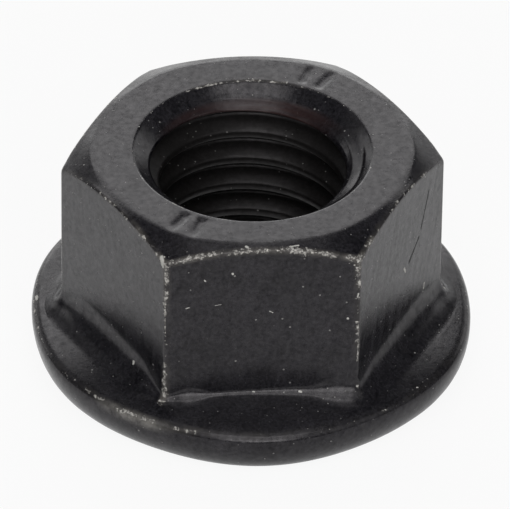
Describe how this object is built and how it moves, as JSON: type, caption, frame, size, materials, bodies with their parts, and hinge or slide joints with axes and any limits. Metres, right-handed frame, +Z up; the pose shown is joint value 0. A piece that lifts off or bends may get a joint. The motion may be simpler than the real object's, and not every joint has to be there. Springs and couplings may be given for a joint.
{
  "type": "top lock flange nut",
  "caption": "Black hexagon flange nut with a round washer flange, a chamfered top, a countersunk threaded hole and pressed top-lock crimps.",
  "frame": {"origin": "centre of the bearing face under the flange", "axes": "+Z up the thread axis, away from the bearing face; +X towards a corner of the hexagon"},
  "size_m": [0.024, 0.024, 0.0129],
  "materials": {
    "black_steel": "black oxide, satin, chipped at the edges"
  },
  "bodies": {
    "root": {"nut": "black_steel"}
  },
  "joints": []
}
